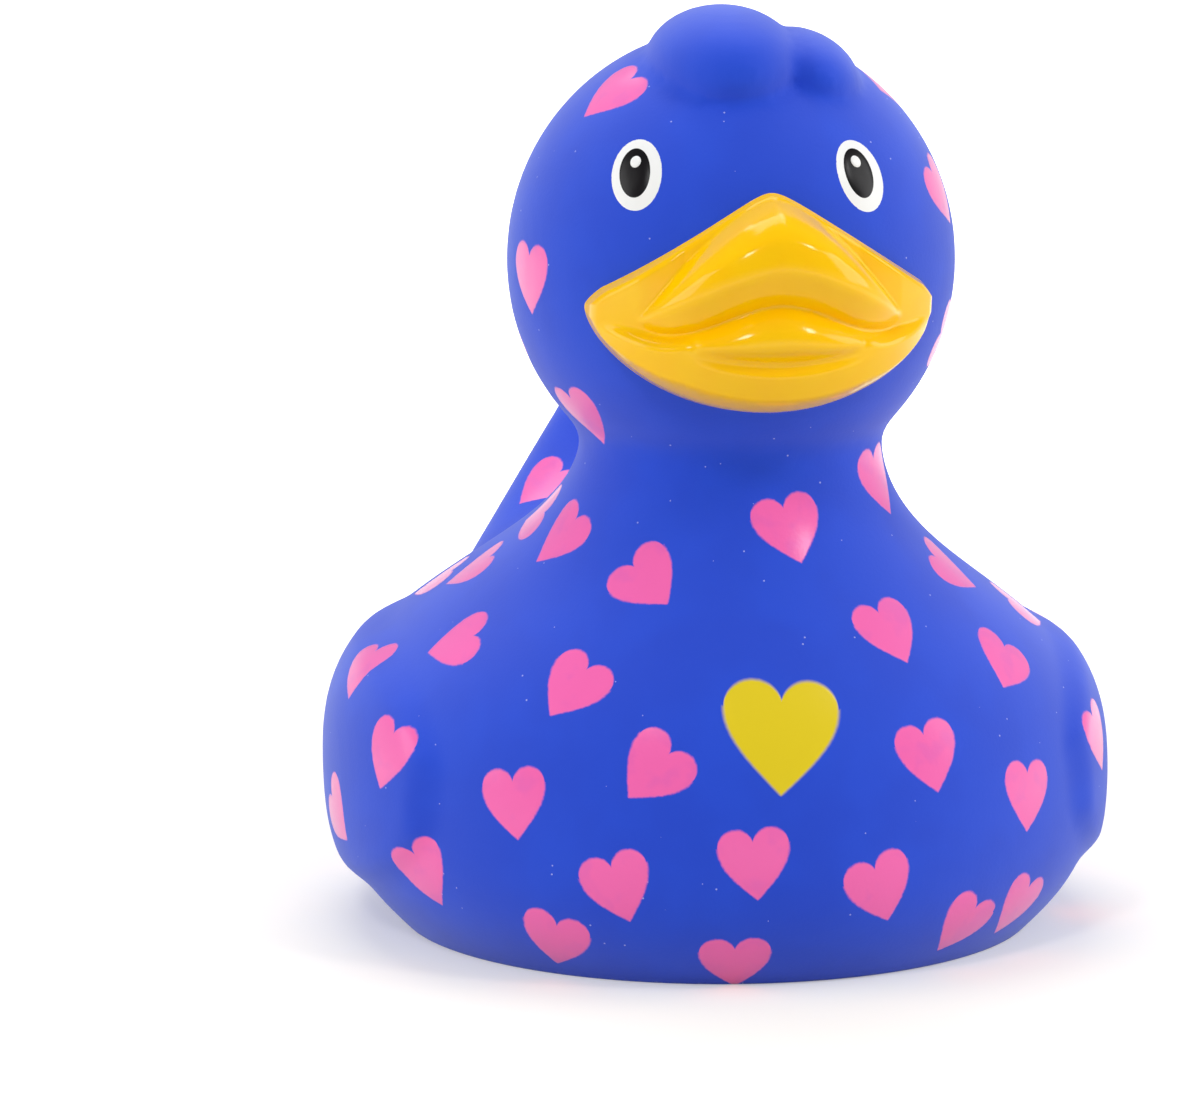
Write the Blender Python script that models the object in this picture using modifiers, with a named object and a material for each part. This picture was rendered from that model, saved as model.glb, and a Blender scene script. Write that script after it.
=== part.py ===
"""Rubber duck: one hollow moulded vinyl shell that floats upright and stands on a flat underside.

Metres, +Z up. The duck faces -Y. The origin is on the flat underside, below the middle of the body.
"Front" and "back" are distances from that origin towards the bill and towards the tail.
"""

from math import cos, pi, radians, sin

import bmesh
import bpy
import numpy as np
from mathutils import Matrix

# Body, from the floor up: each level has its height, half width, front and back
FLOOR_HALF_WIDTH = 0.0313
FLOOR_FRONT = 0.0376
FLOOR_BACK = 0.0310

FOOT_HEIGHT = 0.0035
FOOT_HALF_WIDTH = 0.0346
FOOT_FRONT = 0.0405
FOOT_BACK = 0.0345

BELLY_HEIGHT = 0.0145
BELLY_HALF_WIDTH = 0.0378
BELLY_FRONT = 0.0425
BELLY_BACK = 0.0375

SHOULDER_HEIGHT = 0.0270
SHOULDER_HALF_WIDTH = 0.0341
SHOULDER_FRONT = 0.0390
SHOULDER_BACK = 0.0350

NECK_ROOT_HEIGHT = 0.0375
NECK_ROOT_HALF_WIDTH = 0.0214
NECK_ROOT_FRONT = 0.0320
NECK_ROOT_BACK = 0.0190

NECK_HEIGHT = 0.0465
NECK_HALF_WIDTH = 0.0150
NECK_FRONT = 0.0276
NECK_BACK = 0.0040

# Head: an egg that is a little taller than wide
HEAD_HEIGHT = 0.0662
HEAD_FORWARD = 0.0132
HEAD_HALF_WIDTH = 0.0218
HEAD_HALF_DEPTH = 0.0215
HEAD_HALF_HEIGHT = 0.0224

# Crest: a round lobe that leans over the forehead, and a curl tucked beside it.
# How far forward and how high they lie is measured from the head's middle.
CREST_LOBE_SIDE = -0.0020
CREST_LOBE_FORWARD = 0.0048
CREST_LOBE_RISE = 0.0192
CREST_LOBE_HALF_WIDTH = 0.0082
CREST_LOBE_HALF_DEPTH = 0.0110
CREST_LOBE_HALF_HEIGHT = 0.0058
CREST_CURL_SIDE = 0.0070
CREST_CURL_FORWARD = 0.0028
CREST_CURL_RISE = 0.0184
CREST_CURL_HALF_LENGTH = 0.0062
CREST_CURL_HALF_DEPTH = 0.0092
CREST_CURL_HALF_THICKNESS = 0.0038
CREST_CURL_DROOP = radians(28)

# Bill outline, as seen from the front. A rise or a drop is measured from the head's middle.
BILL_HALF_WIDTH = 0.0167
BILL_APEX_RISE = 0.0086
BILL_APEX_ROUND = 0.0013
BILL_CHEEK_DROP = 0.0014
BILL_CORNER_DROP = 0.0025
BILL_CORNER_ROUND = 0.0016
BILL_CHIN_DROP = 0.0124

# Bill relief: a border that lies on the face, with an upper and a lower bill on it.
# A reach is measured from the head.
BILL_FLANGE = 0.0008
BILL_CHEEK_REACH = 0.0021
UPPER_BILL_HALF_WIDTH = 0.0128
UPPER_BILL_FOLD_RISE = 0.0074
UPPER_LIP_RISE = 0.0025
UPPER_LIP_SIDE_DROP = 0.0039
UPPER_LIP_REACH = 0.0060
MOUTH_DROP = 0.0047
MOUTH_REACH = 0.0030
MOUTH_ARCH = 0.0033
MOUTH_ARCH_HALF_WIDTH = 0.0110
MOUTH_CORNER_CLIMB = 0.0017
LOWER_LIP_REACH = 0.0053
LOWER_LIP_CREASE_DROP = 0.0066
LOWER_LIP_CREASE_CLIMB = 0.0034
LOWER_LIP_CREASE_REACH = 0.0045
TONGUE_HALF_WIDTH = 0.0080
TONGUE_RISE = 0.0013
BILL_BLEND = 0.0005

# Tail: an upswept wedge from inside the rump to a rounded tip
TAIL_ROOT_BACK = 0.0120
TAIL_ROOT_HEIGHT = 0.0180
TAIL_ROOT_HALF_WIDTH = 0.0300
TAIL_ROOT_HALF_THICKNESS = 0.0150
TAIL_MIDDLE_BACK = 0.0320
TAIL_MIDDLE_HEIGHT = 0.0295
TAIL_MIDDLE_HALF_WIDTH = 0.0190
TAIL_MIDDLE_HALF_THICKNESS = 0.0090
TAIL_TIP_BACK = 0.0435
TAIL_TIP_HEIGHT = 0.0470
TAIL_TIP_HALF_WIDTH = 0.0058
TAIL_TIP_HALF_THICKNESS = 0.0028

# Wings: raised pads on both flanks, round in front and drawn up to a point behind
WING_HEIGHT = 0.0165
WING_FRONT_LENGTH = 0.0275
WING_BACK_LENGTH = 0.0370
WING_HALF_HEIGHT = 0.0130
WING_SWEEP = 0.0100
WING_RELIEF = 0.0012
WING_EDGE = 0.0036

# Shell and the air hole in its underside
WALL = 0.0020
VENT_DIAMETER = 0.0030
VENT_BACK = 0.0120

# Fineness of the faceted surface
OUTER_VOXEL = 0.0009
INNER_VOXEL = 0.0016
OUTER_TRIANGLES = 6800
INNER_TRIANGLES = 1500
SOFT_ROUNDS = 14
FIRM_ROUNDS = 3
RING_POINTS = 72
LOFT_LEVELS = 48
BILL_COLUMNS = 81
BILL_ROWS = 61


def clear_scene():
    for item in list(bpy.data.objects):
        bpy.data.objects.remove(item, do_unlink=True)


def make_collection(name):
    collection = bpy.data.collections.new(name)
    bpy.context.scene.collection.children.link(collection)
    return collection


def make_material(name, color, roughness):
    material = bpy.data.materials.new(name)
    material.use_nodes = True
    shader = material.node_tree.nodes["Principled BSDF"]
    shader.inputs["Base Color"].default_value = (*color, 1.0)
    shader.inputs["Roughness"].default_value = roughness
    material.diffuse_color = (*color, 1.0)
    return material


def smooth_through(places, values, where):
    """The natural cubic spline through the given points, read at the places in where."""
    places = np.array(places)
    values = np.array(values)
    steps = np.diff(places)
    slopes = np.diff(values) / steps
    count = len(values)
    matrix = np.eye(count)
    bends = np.zeros(count)
    for i in range(1, count - 1):
        matrix[i, i - 1] = steps[i - 1]
        matrix[i, i] = 2 * (steps[i - 1] + steps[i])
        matrix[i, i + 1] = steps[i]
        bends[i] = 6 * (slopes[i] - slopes[i - 1])
    bends = np.linalg.solve(matrix, bends)
    i = np.clip(np.searchsorted(places, where) - 1, 0, count - 2)
    along = where - places[i]
    slope = slopes[i] - steps[i] * (2 * bends[i] + bends[i + 1]) / 6
    twist = (bends[i + 1] - bends[i]) / (6 * steps[i])
    return values[i] + along * (slope + along * (bends[i] / 2 + along * twist))


def loft(name, rings):
    """A closed mesh from rings of as many points each, in order, with both ends capped."""
    mesh_builder = bmesh.new()
    levels = [[mesh_builder.verts.new(point) for point in ring] for ring in rings]
    for lower, upper in zip(levels, levels[1:]):
        for i in range(len(lower)):
            j = (i + 1) % len(lower)
            mesh_builder.faces.new((lower[i], lower[j], upper[j], upper[i]))
    mesh_builder.faces.new(list(reversed(levels[0])))
    mesh_builder.faces.new(levels[-1])
    bmesh.ops.recalc_face_normals(mesh_builder, faces=mesh_builder.faces)
    mesh = bpy.data.meshes.new(name)
    mesh_builder.to_mesh(mesh)
    mesh_builder.free()
    return mesh


def body_mesh():
    """Torso and neck: level ovals whose front and back halves have their own reach."""
    top = HEAD_HEIGHT - HEAD_HALF_HEIGHT / 2
    below_floor = FOOT_HEIGHT / 2
    heights = [-below_floor, 0.0, FOOT_HEIGHT, BELLY_HEIGHT,
               SHOULDER_HEIGHT, NECK_ROOT_HEIGHT, NECK_HEIGHT, top]
    widths = [FLOOR_HALF_WIDTH - below_floor, FLOOR_HALF_WIDTH, FOOT_HALF_WIDTH, BELLY_HALF_WIDTH,
              SHOULDER_HALF_WIDTH, NECK_ROOT_HALF_WIDTH, NECK_HALF_WIDTH, NECK_HALF_WIDTH]
    fronts = [FLOOR_FRONT - below_floor, FLOOR_FRONT, FOOT_FRONT, BELLY_FRONT,
              SHOULDER_FRONT, NECK_ROOT_FRONT, NECK_FRONT, NECK_FRONT]
    backs = [FLOOR_BACK - below_floor, FLOOR_BACK, FOOT_BACK, BELLY_BACK,
             SHOULDER_BACK, NECK_ROOT_BACK, NECK_BACK, NECK_BACK]
    levels = np.linspace(heights[0], heights[-1], LOFT_LEVELS)
    level_widths = smooth_through(heights, widths, levels)
    level_fronts = smooth_through(heights, fronts, levels)
    level_backs = smooth_through(heights, backs, levels)
    rings = []
    for z, half_width, front, back in zip(levels, level_widths, level_fronts, level_backs):
        # The widest place of each oval lies a little behind its middle
        middle = 0.45 * back - 0.55 * front
        ring = []
        for i in range(RING_POINTS):
            angle = 2 * pi * i / RING_POINTS
            reach = front + middle if sin(angle) < 0 else back - middle
            ring.append((half_width * cos(angle), middle + reach * sin(angle), z))
        rings.append(ring)
    return loft("body", rings)


def tail_mesh():
    """Ovals along an upswept line, square to it, drawn in to a rounded tip."""
    backs = [TAIL_ROOT_BACK, TAIL_MIDDLE_BACK, TAIL_TIP_BACK]
    heights = [TAIL_ROOT_HEIGHT, TAIL_MIDDLE_HEIGHT, TAIL_TIP_HEIGHT]
    widths = [TAIL_ROOT_HALF_WIDTH, TAIL_MIDDLE_HALF_WIDTH, TAIL_TIP_HALF_WIDTH]
    thicknesses = [TAIL_ROOT_HALF_THICKNESS, TAIL_MIDDLE_HALF_THICKNESS, TAIL_TIP_HALF_THICKNESS]
    stations = np.linspace(0, 2, LOFT_LEVELS // 2)
    steps = [0, 1, 2]
    line = np.stack([smooth_through(steps, backs, stations), smooth_through(steps, heights, stations)], axis=1)
    station_widths = smooth_through(steps, widths, stations)
    station_thicknesses = smooth_through(steps, thicknesses, stations)
    directions = np.gradient(line, axis=0)
    directions /= np.linalg.norm(directions, axis=1)[:, None]
    rings = [tail_ring(*station) for station in zip(line, directions, station_widths, station_thicknesses)]
    for step in range(1, 6):
        # The end closes as a quarter round
        angle = step * pi / 12
        reach = TAIL_TIP_HALF_THICKNESS * sin(angle)
        shrink = cos(angle)
        end = line[-1] + directions[-1] * reach
        half_width = TAIL_TIP_HALF_WIDTH - TAIL_TIP_HALF_THICKNESS * (1 - shrink)
        rings.append(tail_ring(end, directions[-1], half_width, TAIL_TIP_HALF_THICKNESS * shrink))
    return loft("tail", rings)


def tail_ring(point, direction, half_width, half_thickness):
    across = np.array([-direction[1], direction[0]])
    ring = []
    for i in range(RING_POINTS // 2):
        angle = 4 * pi * i / RING_POINTS
        y, z = point + across * half_thickness * sin(angle)
        ring.append((half_width * cos(angle), y, z))
    return ring


def egg(name, center, half_sizes, turn=None):
    """A sphere primitive, stretched and turned."""
    bpy.ops.mesh.primitive_uv_sphere_add(segments=64, ring_count=32, radius=1.0)
    ball = bpy.context.object
    ball.name = name
    turn = turn or Matrix.Identity(4)
    ball.data.transform(Matrix.Translation(center) @ turn @ Matrix.Diagonal((*half_sizes, 1.0)))
    return ball


def ease_through(places, values, where):
    """A curve through the given points that never swings past them, read at the places in where."""
    values = np.array(values)
    steps = np.diff(places)
    slopes = np.diff(values) / steps
    tangents = np.zeros(len(values))
    for i in range(1, len(values) - 1):
        if slopes[i - 1] * slopes[i] > 0:
            before = 2 * steps[i] + steps[i - 1]
            after = steps[i] + 2 * steps[i - 1]
            tangents[i] = (before + after) / (before / slopes[i - 1] + after / slopes[i])
    tangents[0] = slopes[0]
    tangents[-1] = slopes[-1]
    i = np.clip(np.searchsorted(places, where) - 1, 0, len(values) - 2)
    t = np.clip((where - places[i]) / steps[i], 0, 1)
    bend = (1 - t) ** 2 * t * tangents[i] + t * t * (t - 1) * tangents[i + 1]
    return (1 + 2 * t) * (1 - t) ** 2 * values[i] + t * t * (3 - 2 * t) * values[i + 1] + steps[i] * bend


def larger_of(first, second):
    """The larger of two reaches, with a soft fold where they cross."""
    share = np.clip(0.5 + 0.5 * (first - second) / BILL_BLEND, 0, 1)
    return second + (first - second) * share + BILL_BLEND * share * (1 - share)


def in_order(rises):
    """The rises with at least a hair between neighbours."""
    hairs = 0.00001 * np.arange(len(rises))
    return np.maximum.accumulate(np.array(rises) - hairs) + hairs


def head_front(x, rise):
    """How far in front of the origin the plain head lies at a side and a rise from its middle."""
    inside = 1 - (x / HEAD_HALF_WIDTH) ** 2 - (rise / HEAD_HALF_HEIGHT) ** 2
    return HEAD_FORWARD + HEAD_HALF_DEPTH * np.sqrt(np.clip(inside, 0, 1))


def bill_lines(x):
    """Rises of the bill's lines at a side: upper edge, fold, upper lip, mouth, crease and chin edge."""
    side = abs(x)
    across = min(side / BILL_HALF_WIDTH, 1)
    apex = BILL_APEX_ROUND
    to_corner = (np.hypot(side, apex) - apex) / (np.hypot(BILL_HALF_WIDTH, apex) - apex)
    top = BILL_APEX_RISE - (BILL_APEX_RISE + BILL_CHEEK_DROP) * to_corner
    corner = np.clip((side - BILL_HALF_WIDTH) / BILL_CORNER_ROUND + 1, 0, 1)
    top = -BILL_CORNER_DROP + (top + BILL_CORNER_DROP) * np.sqrt(1 - corner ** 2)
    chin = -BILL_CORNER_DROP - (BILL_CHIN_DROP - BILL_CORNER_DROP) * (1 - across ** 2) ** 0.62

    hump = (1 + cos(pi * min(side / MOUTH_ARCH_HALF_WIDTH, 1))) / 2
    climb = max(0, (side - MOUTH_ARCH_HALF_WIDTH) / (BILL_HALF_WIDTH - MOUTH_ARCH_HALF_WIDTH)) ** 1.5
    mouth = -MOUTH_DROP + MOUTH_ARCH * hump + MOUTH_CORNER_CLIMB * climb
    crease = -LOWER_LIP_CREASE_DROP + LOWER_LIP_CREASE_CLIMB * across ** 2
    out = side / UPPER_BILL_HALF_WIDTH
    lip = max(UPPER_LIP_RISE - (UPPER_LIP_RISE + UPPER_LIP_SIDE_DROP) * out ** 1.6, mouth + BILL_FLANGE)
    fall = (np.hypot(side, apex) - apex) / (np.hypot(UPPER_BILL_HALF_WIDTH, apex) - apex)
    fold = max(UPPER_BILL_FOLD_RISE - (UPPER_BILL_FOLD_RISE + UPPER_LIP_SIDE_DROP) * fall, lip + BILL_FLANGE)
    return top, fold, lip, mouth, crease, chin


def lower_reach(x, rise, mouth, crease, chin):
    """Lower bill from the chin edge up: underside, lip, crease and the tongue's mound, then into the mouth."""
    full = (1 - min(abs(x) / BILL_HALF_WIDTH, 1) ** 3) ** 0.5
    mound = TONGUE_RISE * max(0, 1 - (x / TONGUE_HALF_WIDTH) ** 2) ** 0.7
    sunk = BILL_FLANGE
    turn = chin + 0.40 * (crease - chin)
    rises = [chin - sunk / 3, chin + 0.35 * (turn - chin), turn, crease - sunk, crease,
             crease + 0.35 * (mouth - crease), mouth + sunk / 4, mouth + 4 * sunk]
    lip = LOWER_LIP_REACH * full
    fold = LOWER_LIP_CREASE_REACH * full
    reaches = [-sunk / 4, 0.68 * lip, lip, lip, fold, 0.95 * fold + mound, MOUTH_REACH * full, -4 * sunk]
    return ease_through(in_order(rises), reaches, rise)


def upper_reach(x, rise, mouth, lip, fold, top):
    """Upper bill from the mouth line up: turned-under lip, lip, a broad face and the fold above it."""
    full = (1 - min(abs(x) / UPPER_BILL_HALF_WIDTH, 1) ** 2.4) ** 0.6
    sunk = BILL_FLANGE
    rises = [mouth - 3 * sunk, mouth - sunk / 4, mouth + 0.55 * (lip - mouth), lip,
             lip + 0.40 * (fold - lip), lip + 0.75 * (fold - lip), fold, top + sunk]
    reach = UPPER_LIP_REACH * full
    reaches = [-4 * sunk, MOUTH_REACH * full, 0.85 * reach, reach,
               0.95 * reach, 0.68 * reach, 0.10 * reach, -4 * sunk]
    return ease_through(in_order(rises), reaches, rise)


def bill_front(x, rise):
    """How far in front of the origin the bill's surface lies at a side, over a row of rises."""
    top, fold, lip, mouth, crease, chin = bill_lines(x)
    inside = np.minimum(np.minimum(top - rise, rise - chin), BILL_HALF_WIDTH - abs(x))
    edge = np.clip(inside / BILL_FLANGE, 0, 1)
    cheek = np.clip((abs(x) - BILL_HALF_WIDTH / 2) / (BILL_HALF_WIDTH / 4), 0, 1)
    border = (BILL_FLANGE + (BILL_CHEEK_REACH - BILL_FLANGE) * cheek) * np.sqrt(1 - (1 - edge) ** 2)
    form = larger_of(lower_reach(x, rise, mouth, crease, chin), upper_reach(x, rise, mouth, lip, fold, top))
    return head_front(x, rise) + larger_of(border, form) * np.clip(3 * edge, 0, 1)


def bill_mesh():
    """A sheet over the bill's outline, closed by its sides and a back inside the head."""
    mesh_builder = bmesh.new()
    columns = []
    for i in range(BILL_COLUMNS):
        x = -BILL_HALF_WIDTH * cos(pi * i / (BILL_COLUMNS - 1)) * 0.999
        lines = bill_lines(x)
        top = lines[0]
        chin = lines[-1]
        rise = chin + (top - chin) * (1 - np.cos(np.linspace(0, pi, BILL_ROWS))) / 2
        y = -bill_front(x, rise)
        z = HEAD_HEIGHT + rise
        columns.append([mesh_builder.verts.new((x, y[k], z[k])) for k in range(BILL_ROWS)])
    for left, right in zip(columns, columns[1:]):
        for k in range(BILL_ROWS - 1):
            mesh_builder.faces.new((left[k], right[k], right[k + 1], left[k + 1]))
    rim = [edge for edge in mesh_builder.edges if edge.is_boundary]
    walls = bmesh.ops.extrude_edge_only(mesh_builder, edges=rim)["geom"]
    for vertex in walls:
        if isinstance(vertex, bmesh.types.BMVert):
            vertex.co.y = -HEAD_FORWARD
    open_edges = [edge for edge in mesh_builder.edges if edge.is_boundary]
    bmesh.ops.contextual_create(mesh_builder, geom=open_edges)
    bmesh.ops.recalc_face_normals(mesh_builder, faces=mesh_builder.faces)
    mesh = bpy.data.meshes.new("bill")
    mesh_builder.to_mesh(mesh)
    mesh_builder.free()
    return mesh


def wing_relief(points):
    """How far the wing pads stand off the flanks at each point."""
    along = points[:, 1]
    length = np.where(along < 0, WING_FRONT_LENGTH, WING_BACK_LENGTH)
    share = np.clip(np.abs(along) / length, 0, 1)
    round_front = np.sqrt(1 - share ** 2.6)
    drawn_back = np.cos(pi / 2 * share)
    half_height = WING_HALF_HEIGHT * np.where(along < 0, round_front, drawn_back)
    middle = WING_HEIGHT + np.where(along < 0, 0.0, WING_SWEEP * share ** 1.5)
    inside = half_height - np.abs(points[:, 2] - middle)
    inside = np.minimum(inside, length - np.abs(along))
    ramp = np.clip(inside / WING_EDGE, 0, 1)
    return WING_RELIEF * ramp * ramp * (3 - 2 * ramp)


def evaluated_mesh(thing):
    depsgraph = bpy.context.evaluated_depsgraph_get()
    return bpy.data.meshes.new_from_object(thing.evaluated_get(depsgraph))


def read_points(mesh):
    points = np.empty(len(mesh.vertices) * 3)
    mesh.vertices.foreach_get("co", points)
    return points.reshape(-1, 3)


def read_normals(mesh):
    normals = np.empty(len(mesh.vertices) * 3)
    mesh.vertices.foreach_get("normal", normals)
    return normals.reshape(-1, 3)


def add_object(name, mesh, collection):
    thing = bpy.data.objects.new(name, mesh)
    collection.objects.link(thing)
    return thing


def add_modifier(thing, name, kind, **settings):
    modifier = thing.modifiers.new(name, kind)
    for key, value in settings.items():
        setattr(modifier, key, value)
    return modifier


def apply_modifiers(thing):
    mesh = evaluated_mesh(thing)
    thing.modifiers.clear()
    thing.data = mesh


def outer_form(collection):
    """Body, tail and head with soft transitions and raised wings, then the crest and bill with firmer ones."""
    soft = grow_together("soft_form", collection, SOFT_ROUNDS, [
        add_object("body_form", body_mesh(), collection),
        add_object("tail_form", tail_mesh(), collection),
        egg("head_form", (0, -HEAD_FORWARD, HEAD_HEIGHT), (HEAD_HALF_WIDTH, HEAD_HALF_DEPTH, HEAD_HALF_HEIGHT)),
    ])
    points = read_points(soft.data)
    points += read_normals(soft.data) * wing_relief(points)[:, None]
    soft.data.vertices.foreach_set("co", points.ravel())
    soft.data.update()
    lobe_place = (CREST_LOBE_SIDE, -HEAD_FORWARD - CREST_LOBE_FORWARD, HEAD_HEIGHT + CREST_LOBE_RISE)
    curl_place = (CREST_CURL_SIDE, -HEAD_FORWARD - CREST_CURL_FORWARD, HEAD_HEIGHT + CREST_CURL_RISE)
    return grow_together("duck_body", collection, FIRM_ROUNDS, [
        soft,
        add_object("bill_form", bill_mesh(), collection),
        egg("crest_lobe_form", lobe_place,
            (CREST_LOBE_HALF_WIDTH, CREST_LOBE_HALF_DEPTH, CREST_LOBE_HALF_HEIGHT)),
        egg("crest_curl_form", curl_place,
            (CREST_CURL_HALF_LENGTH, CREST_CURL_HALF_DEPTH, CREST_CURL_HALF_THICKNESS),
            Matrix.Rotation(CREST_CURL_DROOP, 4, "Y")),
    ])


def grow_together(name, collection, rounds, forms):
    """One closed skin around all the forms, softened where they meet."""
    builder = bmesh.new()
    for form in forms:
        builder.from_mesh(form.data)
        bpy.data.objects.remove(form, do_unlink=True)
    mesh = bpy.data.meshes.new(name)
    builder.to_mesh(mesh)
    builder.free()
    skin = add_object(name, mesh, collection)
    add_modifier(skin, "Grow together", "REMESH", mode="VOXEL", voxel_size=OUTER_VOXEL)
    add_modifier(skin, "Soften", "SMOOTH", factor=0.5, iterations=rounds)
    apply_modifiers(skin)
    return skin


def thin_out(thing, triangles):
    """Fewer facets, with more of them left where the form is tight."""
    thing.data.calc_loop_triangles()
    ratio = min(1.0, triangles / len(thing.data.loop_triangles))
    add_modifier(thing, "Thin out", "DECIMATE", ratio=ratio, use_collapse_triangulate=True)
    apply_modifiers(thing)


def hollow_form(skin, collection):
    """The air inside: the skin drawn in by the wall, without loose bubbles in the thin tips."""
    hollow = add_object("hollow_form", skin.data.copy(), collection)
    add_modifier(hollow, "Wall", "DISPLACE", direction="NORMAL", mid_level=0.0, strength=-WALL)
    add_modifier(hollow, "Tidy", "REMESH", mode="VOXEL", voxel_size=INNER_VOXEL)
    add_modifier(hollow, "Soften", "SMOOTH", factor=0.5, iterations=2)
    apply_modifiers(hollow)
    keep_largest_body(hollow.data)
    thin_out(hollow, INNER_TRIANGLES)
    return hollow


def keep_largest_body(mesh):
    builder = bmesh.new()
    builder.from_mesh(mesh)
    unseen = set(builder.verts)
    bodies = []
    while unseen:
        front = [unseen.pop()]
        body = set(front)
        while front:
            vertex = front.pop()
            for edge in vertex.link_edges:
                other = edge.other_vert(vertex)
                if other in unseen:
                    unseen.discard(other)
                    body.add(other)
                    front.append(other)
        bodies.append(body)
    bodies.sort(key=len)
    for body in bodies[:-1]:
        bmesh.ops.delete(builder, geom=list(body), context="VERTS")
    builder.to_mesh(mesh)
    builder.free()


def make_cutter(thing):
    thing.hide_render = True
    thing.display_type = "WIRE"
    return thing


def ground_cutter(collection):
    """Everything below the floor, which leaves a flat underside."""
    reach = 2 * (BELLY_FRONT + BELLY_BACK)
    bpy.ops.mesh.primitive_cube_add(size=1.0)
    box = bpy.context.object
    box.name = "ground_cutter"
    box.data.transform(Matrix.Translation((0, 0, -reach / 2)) @ Matrix.Scale(reach, 4))
    move_to(box, collection)
    return make_cutter(box)


def vent_cutter(collection):
    """The air hole, from below the floor through the wall."""
    length = 4 * WALL
    bpy.ops.mesh.primitive_cylinder_add(vertices=24, radius=VENT_DIAMETER / 2, depth=length)
    drill = bpy.context.object
    drill.name = "vent_cutter"
    drill.data.transform(Matrix.Translation((0, VENT_BACK, 0)))
    move_to(drill, collection)
    return make_cutter(drill)


def move_to(thing, collection):
    for owner in list(thing.users_collection):
        owner.objects.unlink(thing)
    collection.objects.link(thing)


def cut(thing, cutter):
    add_modifier(thing, "Cut " + cutter.name, "BOOLEAN", operation="DIFFERENCE", solver="EXACT", object=cutter)


def raise_floor_of(hollow, collection):
    """The hollow ends one wall above the underside."""
    reach = 2 * (BELLY_FRONT + BELLY_BACK)
    bpy.ops.mesh.primitive_cube_add(size=1.0)
    box = bpy.context.object
    box.name = "inner_floor_cutter"
    box.data.transform(Matrix.Translation((0, 0, WALL - reach / 2)) @ Matrix.Scale(reach, 4))
    move_to(box, collection)
    make_cutter(box)
    cut(hollow, box)
    apply_modifiers(hollow)
    bpy.data.objects.remove(box, do_unlink=True)


def main():
    clear_scene()
    parts = make_collection("rubber_duck")
    cutters = make_collection("cutters")

    duck = outer_form(parts)
    hollow = hollow_form(duck, cutters)
    thin_out(duck, OUTER_TRIANGLES)
    raise_floor_of(hollow, cutters)
    make_cutter(hollow)

    cut(duck, ground_cutter(cutters))
    cut(duck, hollow)
    cut(duck, vent_cutter(cutters))

    vinyl = make_material("blue_vinyl", (0.045, 0.085, 0.55), 0.55)
    duck.data.materials.clear()
    duck.data.materials.append(vinyl)
    duck.data.shade_smooth()
    duck.data.set_sharp_from_angle(angle=radians(50))


main()
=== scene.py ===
"""Rubber duck: a moulded vinyl bath duck with sprayed hearts, painted eyes and an enamelled bill.

Metres, +Z up. The duck faces -Y. The origin is on the flat underside, below the middle of the body.
"Front" and "back" are distances from that origin towards the bill and towards the tail.
"""

from math import cos, pi, radians, sin
from random import Random

import bmesh
import bpy
import numpy as np
from bpy.props import FloatProperty, FloatVectorProperty, IntProperty, PointerProperty
from mathutils import Matrix, Vector
from mathutils.bvhtree import BVHTree


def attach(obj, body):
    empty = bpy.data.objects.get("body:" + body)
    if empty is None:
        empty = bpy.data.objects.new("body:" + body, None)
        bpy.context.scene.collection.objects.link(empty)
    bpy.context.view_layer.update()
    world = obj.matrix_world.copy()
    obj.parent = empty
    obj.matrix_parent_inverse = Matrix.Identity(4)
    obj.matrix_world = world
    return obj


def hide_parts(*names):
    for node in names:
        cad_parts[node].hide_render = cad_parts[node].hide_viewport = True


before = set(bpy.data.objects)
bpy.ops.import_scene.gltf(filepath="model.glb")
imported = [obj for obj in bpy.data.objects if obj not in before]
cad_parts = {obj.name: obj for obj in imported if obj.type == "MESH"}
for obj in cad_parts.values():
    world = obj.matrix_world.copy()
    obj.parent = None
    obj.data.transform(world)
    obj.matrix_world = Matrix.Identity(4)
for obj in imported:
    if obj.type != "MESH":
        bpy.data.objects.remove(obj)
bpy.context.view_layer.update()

bl_info = {
    "name": "Rubber Duck",
    "version": (1, 0, 0),
    "blender": (4, 5, 0),
    "location": "3D View > Sidebar > Rubber Duck",
    "description": "Builds a vinyl bath duck with sprayed hearts, its eyes, its bill and a studio floor",
    "category": "Object",
}


def linear_color(code):
    """An sRGB hex colour as linear red, green and blue."""
    values = []
    for i in (0, 2, 4):
        value = int(code[i:i + 2], 16) / 255
        values.append(value / 12.92 if value <= 0.04045 else ((value + 0.055) / 1.055) ** 2.4)
    return tuple(values)


def length(name, description, default):
    return FloatProperty(name=name, description=description, default=default, unit="LENGTH", precision=4)


def lengths(name, description, *default):
    return FloatVectorProperty(name=name, description=description, default=default, size=len(default),
                               unit="LENGTH", precision=4)


def angle(name, description, degrees):
    return FloatProperty(name=name, description=description, default=radians(degrees), subtype="ANGLE")


def color(name, description, code):
    return FloatVectorProperty(name=name, description=description, default=linear_color(code), size=3,
                               subtype="COLOR", min=0.0, max=1.0)


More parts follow.
